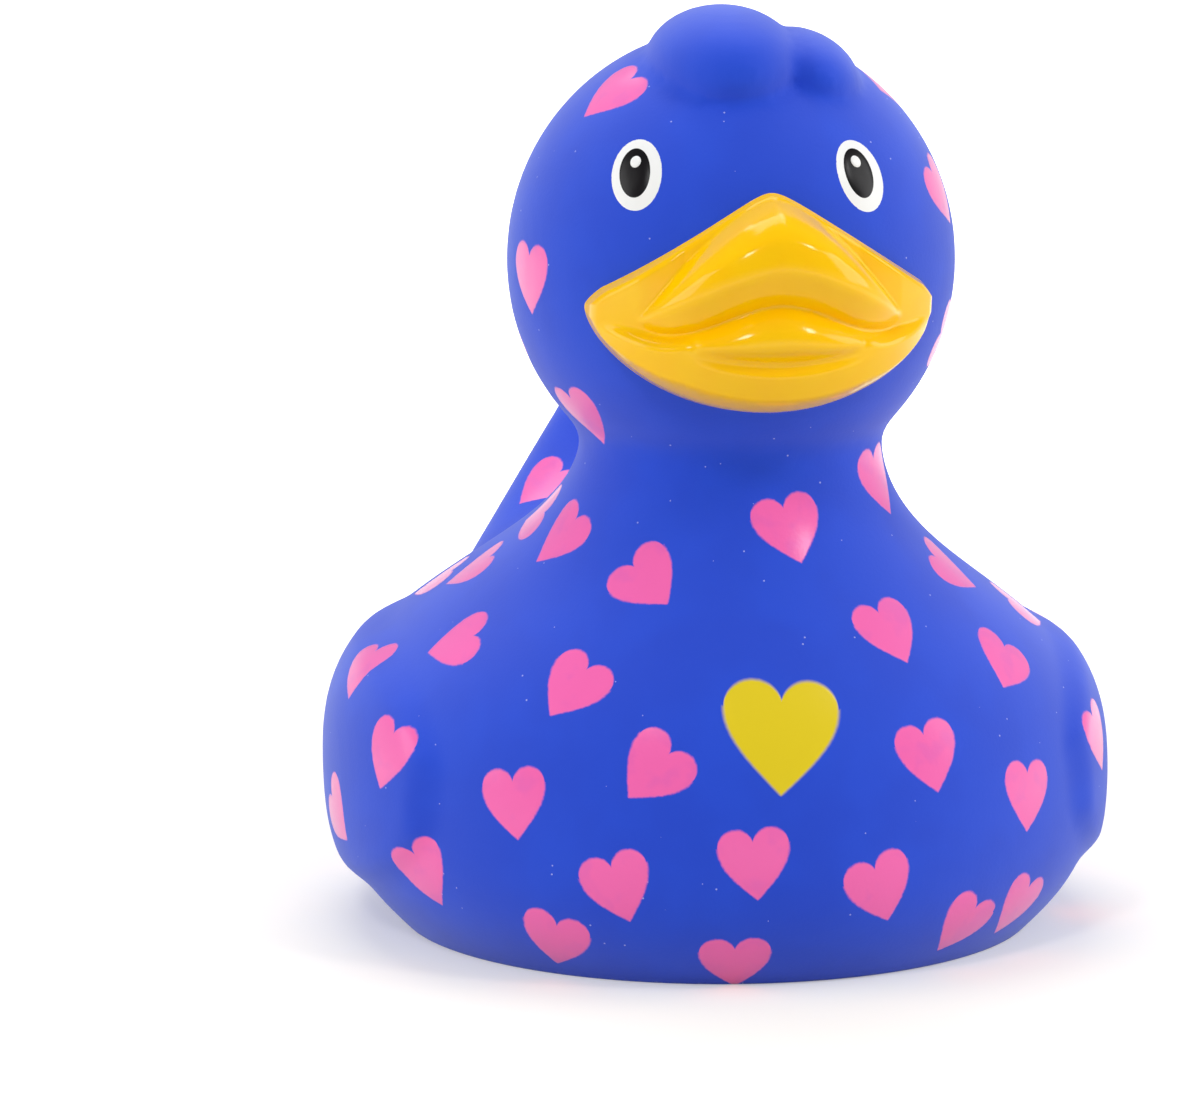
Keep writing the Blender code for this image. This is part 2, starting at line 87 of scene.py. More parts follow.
class DuckBodySizes(bpy.types.PropertyGroup):
    """Torso, neck, head, crest, tail, wings and underside."""
    floor: lengths("Floor", "Half width, front and back of the flat underside", 0.0313, 0.0376, 0.0310)
    foot: lengths("Foot", "Height, half width, front and back above the floor's round", 0.0035, 0.0346, 0.0405, 0.0345)
    belly: lengths("Belly", "Height, half width, front and back at the widest", 0.0145, 0.0378, 0.0425, 0.0375)
    shoulder: lengths("Shoulder", "Height, half width, front and back", 0.0270, 0.0341, 0.0390, 0.0350)
    neck_root: lengths("Neck root", "Height, half width, front and back", 0.0375, 0.0214, 0.0320, 0.0190)
    neck: lengths("Neck", "Height, half width, front and back at the narrowest", 0.0465, 0.0150, 0.0276, 0.0040)
    head_place: lengths("Head place", "Forward and height of the head's middle", 0.0132, 0.0662)
    head_size: lengths("Head size", "Half width, half depth and half height", 0.0218, 0.0215, 0.0224)
    crest_lobe_place: lengths("Crest lobe place", "Side, forward and height", -0.0018, 0.0180, 0.0854)
    crest_lobe_size: lengths("Crest lobe size", "Half width, half depth and half height", 0.0074, 0.0110, 0.0058)
    crest_curl_place: lengths("Crest curl place", "Side, forward and height", 0.0062, 0.0176, 0.0845)
    crest_curl_size: lengths("Crest curl size", "Half length, half depth and half thickness", 0.0055, 0.0090, 0.0041)
    crest_curl_droop: angle("Crest curl droop", "How far the curl hangs to the side", 28)
    tail_backs: lengths("Tail backs", "How far back its root, middle and tip lie", 0.0120, 0.0320, 0.0435)
    tail_heights: lengths("Tail heights", "Heights of its root, middle and tip", 0.0180, 0.0295, 0.0470)
    tail_half_widths: lengths("Tail half widths", "At its root, middle and tip", 0.0300, 0.0190, 0.0058)
    tail_half_thicknesses: lengths("Tail half thicknesses", "At its root, middle and tip", 0.0150, 0.0090, 0.0028)
    wing_height: length("Wing height", "Height of the wings' middle", 0.0165)
    wing_lengths: lengths("Wing lengths", "Reach to the front and to the back", 0.0275, 0.0370)
    wing_half_height: length("Wing half height", "Half of a wing's height in the middle", 0.0130)
    wing_sweep: length("Wing sweep", "How far the hind point is drawn up", 0.0100)
    wing_relief: length("Wing relief", "How far the wings stand off the flanks", 0.0012)
    wing_edge: length("Wing edge", "Width of the rounded edge around a wing", 0.0036)
    vent: lengths("Air hole", "Diameter, and how far back it lies in the underside", 0.0030, 0.0120)
    fineness: length("Fineness", "Grid size of the finished skin", 0.0006)


class DuckBillSizes(bpy.types.PropertyGroup):
    """Outline and relief of the bill; a reach is how far a line stands off the head."""
    half_width: length("Half width", "Half of the width across the corners", 0.0167)
    apex_height: length("Apex height", "Height of the point between the eyes", 0.0748)
    apex_round: length("Apex round", "Radius of that point", 0.0013)
    cheek_height: length("Cheek height", "Height of the upper edge at the corners", 0.0648)
    corner_height: length("Corner height", "Height of the corners' middle", 0.0637)
    corner_round: length("Corner round", "Radius of the corners", 0.0016)
    chin_height: length("Chin height", "Height of the lowest edge", 0.0538)
    flange: length("Flange", "Thickness of the border that lies flat on the face", 0.0008)
    cheek_reach: length("Cheek reach", "Reach of the corners", 0.0021)
    upper_half_width: length("Upper half width", "Half width of the upper bill", 0.0134)
    fold_height: length("Fold height", "Height where the upper bill rises from the border", 0.0744)
    upper_lip: lengths("Upper lip", "Height in the middle, height at the sides and reach", 0.0687, 0.0623, 0.0060)
    mouth: lengths("Mouth", "Lowest height, rise of the arch, its half width and reach", 0.0615, 0.0033, 0.0110, 0.0030)
    mouth_corner_rise: length("Mouth corner rise", "How far the mouth line climbs to the corners", 0.0017)
    crease: lengths("Crease", "Height under the tongue, climb to the corners and reach", 0.0592, 0.0050, 0.0045)
    tongue: lengths("Tongue", "Half width and rise of the mound in the mouth", 0.0080, 0.0013)
    lower_lip_reach: length("Lower lip reach", "Reach of the lower bill", 0.0053)
    blend: length("Blend", "Softness of the folds between the forms", 0.0005)


class DuckEyeSizes(bpy.types.PropertyGroup):
    """Painted eyes."""
    left_place: lengths("Left place", "Side, forward and height", -0.0118, 0.0279, 0.0761)
    right_place: lengths("Right place", "Side, forward and height", 0.0090, 0.0300, 0.0759)
    white: lengths("White", "Half width and half height", 0.0031, 0.0043)
    pupil: lengths("Pupil", "Half width and half height", 0.0016, 0.0025)
    glint: lengths("Glint", "Half width and half height of the white dot", 0.00055, 0.0006)
    paint: length("Paint", "Thickness of one coat", 0.00012)


class DuckPaint(bpy.types.PropertyGroup):
    """Colours of the vinyl and its paints."""
    vinyl: color("Vinyl", "Soft matt blue", "1046D4")
    vinyl_deep: color("Deep vinyl", "Blue where the spray is thickest", "0E42CE")
    bloom: color("Bloom", "Pale sheen at the edges", "DCE4FF")
    heart: color("Heart", "Sprayed pink", "FA66B2")
    mark: color("Chest heart", "Yellow on the chest", "E8CE00")
    bill: color("Bill", "Yellow enamel", "FFC700")
    # The warmer enamel is mixed in random patches, not placed by the folds
    bill_warm: color("Bill in the folds", "Enamel where it gathers", "FFB900")
    eye_white: color("Eye white", "White enamel", "F4F4F2")
    pupil: color("Pupil", "Black enamel", "0C080A")
    heart_height: length("Heart height", "Height of a sprayed heart", 0.0068)
    mark_height: length("Chest heart height", "Height of the yellow heart", 0.0110)
    spacing: length("Spacing", "Room between the hearts behind", 0.0112)
    seed: IntProperty(name="Seed", description="Start of the scatter behind", default=4)


class DuckStage(bpy.types.PropertyGroup):
    """Floor, lamps and camera."""
    azimuth: angle("Azimuth", "Camera's angle round the duck", -9.8)
    elevation: angle("Elevation", "Camera's angle above the horizon", 10.0)
    distance: length("Distance", "From the camera to the point it looks at", 0.6)
    lens: FloatProperty(name="Lens", description="Focal length in millimetres", default=178.2, subtype="DISTANCE_CAMERA")
    aim: lengths("Aim", "Right and up from the origin, as the camera sees it", -0.01043, 0.03485)
    lamp_power: FloatProperty(name="Lamp power", description="Power of each soft lamp", default=2.9, unit="POWER")
    sky: color("Sky", "Light from all around", "BCBEC2")
    room: color("Room", "Dim room above the horizon", "6E727C")
    floor: color("Floor", "Pale floor", "E2DED4")
    clearance: length("Clearance", "How far the floor lies below the underside", 0.00005)


# The hearts that the photo shows, read off it in its own pixels: middle x and y, then tip x and y
PHOTO_WIDTH, PHOTO_HEIGHT = 1200, 1096
HEAD_HEARTS = (
    (611, 93, 580, 117), (529, 279, 530, 318), (584, 416, 606, 443),
    (886, 86, 899, 103), (941, 192, 951, 218), (943, 335, 943, 353),
)
SHOULDER_HEARTS = (
    (561, 537, 535, 566), (537, 515, 504, 528), (472, 568, 440, 588), (436, 580, 408, 597), (544, 484, 526, 498),
    (878, 481, 885, 506), (951, 569, 979, 590), (1022, 608, 1045, 624),
)
CHEST_HEARTS = (
    (647, 581, 675, 612), (790, 530, 800, 561), (572, 687, 551, 713), (653, 771, 624, 802),
    (890, 632, 907, 661), (930, 757, 939, 791),
)
FLANK_HEARTS = (
    (361, 667, 343, 697), (455, 642, 427, 652), (387, 755, 377, 793), (514, 804, 517, 838), (337, 814, 350, 855),
    (1005, 662, 1005, 695), (1028, 796, 1028, 838), (1098, 738, 1104, 768),
)
LOW_HEARTS = (
    (425, 874, 438, 902), (618, 889, 628, 919), (755, 865, 758, 898), (881, 890, 889, 920), (556, 942, 556, 968),
    (735, 965, 735, 1000), (962, 926, 940, 952), (1017, 907, 996, 937),
)
YELLOW_HEART = (782, 737, 782, 795)
MOST_SHIFT = 16

# Width of the camera's sensor in millimetres
SENSOR_WIDTH = 36.0

# Lamps that face the duck from 1 m: name, azimuth and elevation in degrees, size in metres, share of the power
LAMPS = (
    ("lamp_left", -31, 42, 0.15, 0.52), ("lamp_right", 49, 42, 0.15, 0.48), ("lamp_back", 180, 60, 0.70, 1.65),
    ("lamp_side_left", -90, 22, 0.60, 1.0), ("lamp_side_right", 80, 22, 0.60, 1.1),
)


# Forms


def smooth_through(places, values, where):
    """The natural cubic spline through the given points, read at the places in where."""
    places = np.array(places)
    values = np.array(values)
    steps = np.diff(places)
    slopes = np.diff(values) / steps
    count = len(values)
    matrix = np.eye(count)
    bends = np.zeros(count)
    for i in range(1, count - 1):
        matrix[i, i - 1:i + 2] = steps[i - 1], 2 * (steps[i - 1] + steps[i]), steps[i]
        bends[i] = 6 * (slopes[i] - slopes[i - 1])
    bends = np.linalg.solve(matrix, bends)
    i = np.clip(np.searchsorted(places, where) - 1, 0, count - 2)
    along = where - places[i]
    slope = slopes[i] - steps[i] * (2 * bends[i] + bends[i + 1]) / 6
    return values[i] + along * (slope + along * (bends[i] / 2 + along * (bends[i + 1] - bends[i]) / (6 * steps[i])))


def loft(name, rings):
    """A closed mesh from rings of as many points each, in order, with both ends capped."""
    builder = bmesh.new()
    levels = [[builder.verts.new(point) for point in ring] for ring in rings]
    for lower, upper in zip(levels, levels[1:]):
        for i in range(len(lower)):
            j = (i + 1) % len(lower)
            builder.faces.new((lower[i], lower[j], upper[j], upper[i]))
    builder.faces.new(list(reversed(levels[0])))
    builder.faces.new(levels[-1])
    bmesh.ops.recalc_face_normals(builder, faces=builder.faces)
    mesh = bpy.data.meshes.new(name)
    builder.to_mesh(mesh)
    builder.free()
    return mesh


def body_mesh(sizes):
    """Torso and neck: level ovals whose front and back halves have their own reach."""
    foot, belly, shoulder, root, neck = sizes.foot, sizes.belly, sizes.shoulder, sizes.neck_root, sizes.neck
    below = foot[0] / 2
    top = sizes.head_place[1] - sizes.head_size[2] / 2
    heights = [-below, 0.0, foot[0], belly[0], shoulder[0], root[0], neck[0], top]
    ovals = [[size - below for size in sizes.floor], sizes.floor, foot[1:], belly[1:], shoulder[1:], root[1:], neck[1:],
             neck[1:]]
    levels = np.linspace(heights[0], heights[-1], 96)
    widths, fronts, backs = (smooth_through(heights, [oval[k] for oval in ovals], levels) for k in range(3))
    rings = []
    for z, half_width, front, back in zip(levels, widths, fronts, backs):
        # The widest place of each oval lies a little behind its middle
        middle = 0.45 * back - 0.55 * front
        ring = []
        for i in range(144):
            turn = 2 * pi * i / 144
            reach = front + middle if sin(turn) < 0 else back - middle
            ring.append((half_width * cos(turn), middle + reach * sin(turn), z))
        rings.append(ring)
    return loft("body_form", rings)


def tail_mesh(sizes):
    """Ovals along an upswept line, square to it, drawn in to a rounded tip."""
    steps = [0, 1, 2]
    stations = np.linspace(0, 2, 40)
    line = np.stack([smooth_through(steps, sizes.tail_backs, stations),
                     smooth_through(steps, sizes.tail_heights, stations)], axis=1)
    widths = smooth_through(steps, sizes.tail_half_widths, stations)
    thicknesses = smooth_through(steps, sizes.tail_half_thicknesses, stations)
    ways = np.gradient(line, axis=0)
    ways /= np.linalg.norm(ways, axis=1)[:, None]
    rings = [tail_ring(*station) for station in zip(line, ways, widths, thicknesses)]
    tip = sizes.tail_half_thicknesses[2]
    for step in range(1, 6):
        # The end closes as a quarter round
        turn = step * pi / 12
        end = line[-1] + ways[-1] * tip * sin(turn)
        rings.append(tail_ring(end, ways[-1], sizes.tail_half_widths[2] - tip * (1 - cos(turn)), tip * cos(turn)))
    return loft("tail_form", rings)


def tail_ring(point, way, half_width, half_thickness):
    across = np.array([-way[1], way[0]])
    ring = []
    for i in range(64):
        turn = 2 * pi * i / 64
        y, z = point + across * half_thickness * sin(turn)
        ring.append((half_width * cos(turn), y, z))
    return ring


def egg_mesh(place, half_sizes, turn=None):
    """A round form at a side, forward and height, stretched and turned."""
    builder = bmesh.new()
    bmesh.ops.create_uvsphere(builder, u_segments=96, v_segments=48, radius=1.0)
    turn = turn or Matrix.Identity(4)
    shape = Matrix.Translation((place[0], -place[1], place[2])) @ turn @ Matrix.Diagonal((*half_sizes, 1.0))
    builder.transform(shape)
    mesh = bpy.data.meshes.new("egg_form")
    builder.to_mesh(mesh)
    builder.free()
    return mesh


def wing_relief(sizes, points):
    """How far the wing pads stand off the flanks at each point."""
    along = points[:, 1]
    reach = np.where(along < 0, *sizes.wing_lengths)
    share = np.clip(np.abs(along) / reach, 0, 1)
    half_height = sizes.wing_half_height * np.where(along < 0, np.sqrt(1 - share ** 2.6), np.cos(pi / 2 * share))
    middle = sizes.wing_height + np.where(along < 0, 0.0, sizes.wing_sweep * share ** 1.5)
    inside = half_height - np.abs(points[:, 2] - middle)
    inside = np.minimum(inside, reach - np.abs(along))
    ramp = np.clip(inside / sizes.wing_edge, 0, 1)
    return sizes.wing_relief * ramp * ramp * (3 - 2 * ramp)


def read_points(mesh):
    points = np.empty(len(mesh.vertices) * 3)
    mesh.vertices.foreach_get("co", points)
    return points.reshape(-1, 3)


def read_normals(mesh):
    normals = np.empty(len(mesh.vertices) * 3)
    mesh.vertices.foreach_get("normal", normals)
    return normals.reshape(-1, 3)


def add_piece(name, mesh):
    thing = bpy.data.objects.new(name, mesh)
    bpy.context.scene.collection.objects.link(thing)
    return thing


def apply_modifiers(thing):
    depsgraph = bpy.context.evaluated_depsgraph_get()
    mesh = bpy.data.meshes.new_from_object(thing.evaluated_get(depsgraph))
    thing.modifiers.clear()
    thing.data = mesh


def grow_together(name, forms, voxel, softness):
    """One closed skin around all the forms, with the joins softened over about the given distance."""
    builder = bmesh.new()
    for form in forms:
        builder.from_mesh(form)
    mesh = bpy.data.meshes.new(name)
    builder.to_mesh(mesh)
    builder.free()
    skin = add_piece(name, mesh)
    remesh = skin.modifiers.new("Grow together", "REMESH")
    remesh.mode = "VOXEL"
    remesh.voxel_size = voxel
    soften = skin.modifiers.new("Soften", "SMOOTH")
    soften.factor = 0.5
    soften.iterations = max(1, round(2 * (softness / voxel) ** 2))
    apply_modifiers(skin)
    return skin


def flat_underside(mesh, vent):
    """Cuts the skin off at the floor and sinks the air hole into the flat."""
    builder = bmesh.new()
    builder.from_mesh(mesh)
    geometry = list(builder.verts) + list(builder.edges) + list(builder.faces)
    bmesh.ops.bisect_plane(builder, geom=geometry, plane_co=(0, 0, 0), plane_no=(0, 0, -1), clear_outer=True)
    rim = [edge for edge in builder.edges if edge.is_boundary]
    diameter, back = vent
    ring = [builder.verts.new((diameter / 2 * cos(pi * i / 12), back + diameter / 2 * sin(pi * i / 12), 0))
            for i in range(24)]
    hole = [builder.edges.new((ring[i], ring[(i + 1) % 24])) for i in range(24)]
    bmesh.ops.triangle_fill(builder, use_beauty=True, use_dissolve=False, edges=rim + hole)
    floor_faces = [face for face in builder.faces if all(vertex in set(ring) for vertex in face.verts)]
    bmesh.ops.delete(builder, geom=floor_faces, context="FACES_ONLY")
    hole = [edge for edge in builder.edges if edge.is_boundary]
    walls = bmesh.ops.extrude_edge_only(builder, edges=hole)["geom"]
    for item in walls:
        if isinstance(item, bmesh.types.BMVert):
            item.co.z = 2 * diameter
    bmesh.ops.contextual_create(builder, geom=[edge for edge in builder.edges if edge.is_boundary])
    bmesh.ops.recalc_face_normals(builder, faces=builder.faces)
    builder.to_mesh(mesh)
    builder.free()


def surface_of(mesh):
    """The mesh as a tree that answers nearest-point questions, with plain triangles and quads."""
    builder = bmesh.new()
    builder.from_mesh(mesh)
    tree = BVHTree.FromBMesh(builder)
    builder.free()
    return tree


def smooth_normal(surface, point, reach=0.0012):
    """The skin's normal averaged over a small patch."""
    total = Vector((0, 0, 0))
    first = surface.find_nearest(point)[1]
    for _, normal, _, distance in surface.find_nearest_range(point, reach):
        if normal.dot(first) > 0.3:
            total += normal * (reach - distance)
    return total.normalized() if total.length > 0 else first


def shade(thing, *materials, sharp=None):
    thing.data.materials.clear()
    for material in materials:
        thing.data.materials.append(material)
    thing.data.shade_smooth()
    if sharp:
        thing.data.set_sharp_from_angle(angle=sharp)


# Bill


def ease_through(places, values, where):
    """A curve through the given points that never swings past them, read at the places in where."""
    values = np.array(values)
    steps = np.diff(places)
    slopes = np.diff(values) / steps
    tangents = np.zeros(len(values))
    for i in range(1, len(values) - 1):
        if slopes[i - 1] * slopes[i] > 0:
            before, after = 2 * steps[i] + steps[i - 1], steps[i] + 2 * steps[i - 1]
            tangents[i] = (before + after) / (before / slopes[i - 1] + after / slopes[i])
    tangents[0], tangents[-1] = slopes[0], slopes[-1]
    i = np.clip(np.searchsorted(places, where) - 1, 0, len(values) - 2)
    t = np.clip((where - places[i]) / steps[i], 0, 1)
    bend = (1 - t) ** 2 * t * tangents[i] + t * t * (t - 1) * tangents[i + 1]
    return (1 + 2 * t) * (1 - t) ** 2 * values[i] + t * t * (3 - 2 * t) * values[i + 1] + steps[i] * bend


def larger_of(first, second, blend):
    """The larger of two reaches, with a soft fold where they cross."""
    share = np.clip(0.5 + 0.5 * (first - second) / blend, 0, 1)
    return second + (first - second) * share + blend * share * (1 - share)


def head_front(sizes, x, z):
    """How far in front of the origin the plain head lies at a side and a height."""
    forward, height = sizes.head_place
    half_width, half_depth, half_height = sizes.head_size
    inside = 1 - (x / half_width) ** 2 - ((z - height) / half_height) ** 2
    return forward + half_depth * np.sqrt(np.clip(inside, 0, 1))


def bill_lines(bill, x):
    """Heights of the bill's lines at a side: upper edge, fold, upper lip, mouth, crease and chin edge."""
    side = abs(x)
    across = min(side / bill.half_width, 1)
    apex = bill.apex_round
    to_corner = (np.hypot(side, apex) - apex) / (np.hypot(bill.half_width, apex) - apex)
    top = bill.apex_height - (bill.apex_height - bill.cheek_height) * to_corner
    corner = np.clip((side - bill.half_width) / bill.corner_round + 1, 0, 1)
    top = bill.corner_height + (top - bill.corner_height) * np.sqrt(1 - corner ** 2)
    chin = bill.corner_height - (bill.corner_height - bill.chin_height) * (1 - across ** 2) ** 0.62

    low, arch, arch_half_width, _ = bill.mouth
    hump = (1 + cos(pi * min(side / arch_half_width, 1))) / 2
    climb = max(0, (side - arch_half_width) / (bill.half_width - arch_half_width)) ** 1.5
    mouth = low + arch * hump + bill.mouth_corner_rise * climb
    crease = min(bill.crease[0] + bill.crease[1] * across ** 2, mouth - 1.5 * bill.flange)
    out = side / bill.upper_half_width
    lip = max(bill.upper_lip[0] - (bill.upper_lip[0] - bill.upper_lip[1]) * out ** 1.6, mouth + bill.flange)
    fold = max(bill.fold_height - (bill.fold_height - bill.upper_lip[1]) * out ** 1.5, lip + bill.flange)
    return top, fold, lip, mouth, crease, chin


def lower_reach(bill, x, z, mouth, crease, chin):
    """Lower bill from the chin edge up: underside, lip, crease and the tongue's mound, then down into the mouth."""
    full = (1 - min(abs(x) / bill.half_width, 1) ** 3) ** 0.5
    mound = bill.tongue[1] * max(0, 1 - (x / bill.tongue[0]) ** 2) ** 0.7
    sunk = bill.flange
    turn = chin + 0.40 * (crease - chin)
    heights = [chin - sunk / 3, chin + 0.35 * (turn - chin), turn, crease - 1.5 * sunk, crease,
               crease + 0.35 * (mouth - crease), mouth + sunk / 4, mouth + 4 * sunk]
    # The crease is deepest under the tongue and fades out beside it
    fade = max(0, 1 - (x / (1.2 * bill.tongue[0])) ** 2)
    lip = bill.lower_lip_reach * full
    fold = lip - (bill.lower_lip_reach - bill.crease[2]) * fade
    reaches = [-sunk / 4, 0.68 * lip, lip, lip, fold, 0.95 * fold + mound, bill.mouth[3] * full, -4 * sunk]
    return ease_through(in_order(heights), reaches, z)


def upper_reach(bill, x, z, mouth, lip, fold, top):
    """Upper bill from the mouth line up: turned-under lip, lip, a broad face and the fold above it."""
    full = (1 - min(abs(x) / bill.upper_half_width, 1) ** 3) ** 0.65
    sunk = bill.flange
    heights = [mouth - 3 * sunk, mouth - sunk / 4, mouth + 0.55 * (lip - mouth), lip,
               lip + 0.40 * (fold - lip), lip + 0.75 * (fold - lip), fold, top + sunk]
    reach = bill.upper_lip[2] * full
    reaches = [-4 * sunk, bill.mouth[3] * full, 0.85 * reach, reach, 0.95 * reach, 0.68 * reach, 0.10 * reach, -4 * sunk]
    return ease_through(in_order(heights), reaches, z)


def in_order(heights):
    """The heights with at least a hair between neighbours."""
    hairs = 0.00001 * np.arange(len(heights))
    return np.maximum.accumulate(np.array(heights) - hairs) + hairs


def bill_front(sizes, bill, x, z):
    """How far in front of the origin the bill's surface lies at a side, over a row of heights."""
    top, fold, lip, mouth, crease, chin = bill_lines(bill, x)
    inside = np.minimum(np.minimum(top - z, z - chin), bill.half_width - abs(x))
    edge = np.clip(inside / bill.flange, 0, 1)
    cheek = np.clip((abs(x) - bill.half_width / 2) / (bill.half_width / 4), 0, 1)
    border = (bill.flange + (bill.cheek_reach - bill.flange) * cheek) * np.sqrt(1 - (1 - edge) ** 2)
    form = larger_of(lower_reach(bill, x, z, mouth, crease, chin), upper_reach(bill, x, z, mouth, lip, fold, top),
                     bill.blend)
    return head_front(sizes, x, z) + larger_of(border, form, bill.blend) * np.clip(3 * edge, 0, 1)


def bill_mesh(sizes, bill, surface):
    """A sheet over the bill's outline that stands off the head, closed by its sides and a back inside the head."""
    builder = bmesh.new()
    columns = []
    count, rows = 181, 141
    for i in range(count):
        x = -bill.half_width * cos(pi * i / (count - 1)) * 0.9995
        lines = bill_lines(bill, x)
        z = lines[5] + (lines[0] - lines[5]) * (1 - np.cos(np.linspace(0, pi, rows))) / 2
        y = -bill_front(sizes, bill, x, z)
        columns.append([builder.verts.new((x, y[k], z[k])) for k in range(rows)])
    for left, right in zip(columns, columns[1:]):
        for k in range(rows - 1):
            builder.faces.new((left[k], right[k], right[k + 1], left[k + 1]))
    rim = [edge for edge in builder.edges if edge.is_boundary]
    walls = bmesh.ops.extrude_edge_only(builder, edges=rim)["geom"]
    for item in walls:
        if isinstance(item, bmesh.types.BMVert):
            hit = surface.ray_cast(Vector((item.co.x, -1, item.co.z)), Vector((0, 1, 0)))[0]
            item.co.y = (hit.y if hit else item.co.y) + 4 * bill.flange
    bmesh.ops.contextual_create(builder, geom=[edge for edge in builder.edges if edge.is_boundary])
    bmesh.ops.recalc_face_normals(builder, faces=builder.faces)
    mesh = bpy.data.meshes.new("bill")
    builder.to_mesh(mesh)
    builder.free()
    return mesh


# Print


def stamp_frame(surface, x, y, z, lean):
    """Middle, right, up and out of a stamp on the skin; lean turns its tip to the viewer's right."""
    place, _, _, _ = surface.find_nearest(Vector((x, y, z)))
    out = smooth_normal(surface, place)
    up = Vector((0, 0, 1)) - out * out.z
    if up.length < 0.2:
        up = Vector((0, -1, 0)) + out * out.y
    up.normalize()
    up = Matrix.Rotation(lean, 3, out) @ up
    return place, up.cross(out), up, out


def lens_axes(stage):
    """Right, up and back of the camera that stands where the photo was taken from."""
    turn, rise = stage.azimuth, stage.elevation
    right = Vector((cos(turn), sin(turn), 0))
    back = Vector((sin(turn) * cos(rise), -cos(turn) * cos(rise), sin(rise)))
    return right, back.cross(right), back


def lens_place(stage):
    right, up, back = lens_axes(stage)
    return right * stage.aim[0] + up * stage.aim[1] + back * stage.distance


def way_through(stage, x, y):
    """Direction from the lens through a pixel of the photo."""
    right, up, back = lens_axes(stage)
    pixel = SENSOR_WIDTH / PHOTO_WIDTH / stage.lens
    return (right * (x - PHOTO_WIDTH / 2) * pixel - up * (y - PHOTO_HEIGHT / 2) * pixel - back).normalized()


def photo_stamp(surface, stage, middle_x, middle_y, tip_x, tip_y):
    """Middle, right, up and out of the stamp whose middle and tip show at these pixels."""
    lens = lens_place(stage)
    # A heart on the outline moves in by a few pixels where the skin ends short of it
    inward = 1 if middle_x < YELLOW_HEART[0] else -1
    for shift in range(MOST_SHIFT):
        place = surface.ray_cast(lens, way_through(stage, middle_x + inward * shift, middle_y))[0]
        if place is not None:
            break
    else:
        raise RuntimeError(f"No skin near pixel {middle_x}, {middle_y}")
    out = smooth_normal(surface, place)
    # The tip's ray is followed to the plane that touches the skin at the middle
    to_tip = way_through(stage, tip_x + inward * shift, tip_y)
    tip = lens + to_tip * (place - lens).dot(out) / to_tip.dot(out)
    up = (place - tip).normalized()
    return place, up.cross(out), up, out


def scattered_stamps(surface, mesh, taken, spacing, seed, keep_out):
    """More hearts over the sides, the back and the tail, at about even distances and with any lean."""
    random = Random(seed)
    stamps = []
    polygons = mesh.polygons
    for _ in range(6000):
        polygon = polygons[random.randrange(len(polygons))]
        place = polygon.center
        if keep_out(place, polygon.normal):
            continue
        if any((place - other[0]).length < spacing for other in taken + stamps):
            continue
        stamps.append(stamp_frame(surface, *place, radians(random.uniform(-60, 60))))
    return stamps


def write_stamp_maps(mesh, stamps):
    """Per-corner coordinates in the frame of the nearest stamp, in heart heights, and that stamp's ink and wear."""
    centers = np.empty(len(mesh.polygons) * 3)
    mesh.polygons.foreach_get("center", centers)
    centers = centers.reshape(-1, 3)
    normals = np.empty(len(mesh.polygons) * 3)
    mesh.polygons.foreach_get("normal", normals)
    normals = normals.reshape(-1, 3)
    places = np.array([stamp[0][0] for stamp in stamps])
    outs = np.array([stamp[0][3] for stamp in stamps])
    rights = np.array([stamp[0][1] for stamp in stamps])
    ups = np.array([stamp[0][2] for stamp in stamps])
    heights = np.array([stamp[1] for stamp in stamps])
    inks = np.array([stamp[2] for stamp in stamps])
    best = np.full(len(centers), 1e9)
    owner = np.zeros(len(centers), int)
    for i in range(len(stamps)):
        distance = np.linalg.norm(centers - places[i], axis=1) / heights[i]
        distance = np.where(normals @ outs[i] > 0.15, distance, 1e9)
        closer = distance < best
        best[closer] = distance[closer]
        owner[closer] = i
    counts = np.empty(len(mesh.polygons), int)
    mesh.polygons.foreach_get("loop_total", counts)
    corner_owner = np.repeat(owner, counts)
    far = np.repeat(best > 2.0, counts)
    corner_vertex = np.empty(len(mesh.loops), int)
    mesh.loops.foreach_get("vertex_index", corner_vertex)
    offsets = read_points(mesh)[corner_vertex] - places[corner_owner]
    across = np.einsum("ij,ij->i", offsets, rights[corner_owner]) / heights[corner_owner]
    along = np.einsum("ij,ij->i", offsets, ups[corner_owner]) / heights[corner_owner]
    place_map = np.stack([np.where(far, 9.0, across), np.where(far, 9.0, along)], axis=1)
    ink_map = np.stack([inks[corner_owner], (corner_owner * 0.618) % 1.0], axis=1)
    for name, values in (("stamp_place", place_map), ("stamp_ink", ink_map)):
        layer = mesh.uv_layers.new(name=name)
        layer.data.foreach_set("uv", values.astype(np.float32).ravel())


# Materials


def add_node(tree, kind, inputs=None, **settings):
    """Adds a node with its settings; each input is set to a value, or linked where it is given an output."""
    node = tree.nodes.new(kind)
    for key, value in settings.items():
        setattr(node, key, value)
    for key, value in (inputs or {}).items():
        if isinstance(value, bpy.types.NodeSocket):
            tree.links.new(value, node.inputs[key])
        else:
            node.inputs[key].default_value = value
    return node


def calculate(tree, operation, *values):
    """One step of arithmetic on sockets or numbers."""
    return add_node(tree, "ShaderNodeMath", dict(enumerate(values)), operation=operation).outputs[0]


def ramp_between(tree, value, low, high):
    """0 below low, 1 above high, and a smooth step between."""
    return add_node(tree, "ShaderNodeMapRange", {"Value": value, "From Min": low, "From Max": high},
                    interpolation_type="SMOOTHSTEP").outputs["Result"]


def mix_colors(tree, share, first, second):
    """The first colour at 0 and the second at 1."""
    node = add_node(tree, "ShaderNodeMix", {0: share}, data_type="RGBA")
    for place, value in ((6, first), (7, second)):
        if isinstance(value, bpy.types.NodeSocket):
            tree.links.new(value, node.inputs[place])
        else:
            node.inputs[place].default_value = (*value, 1.0)
    return node.outputs[2]


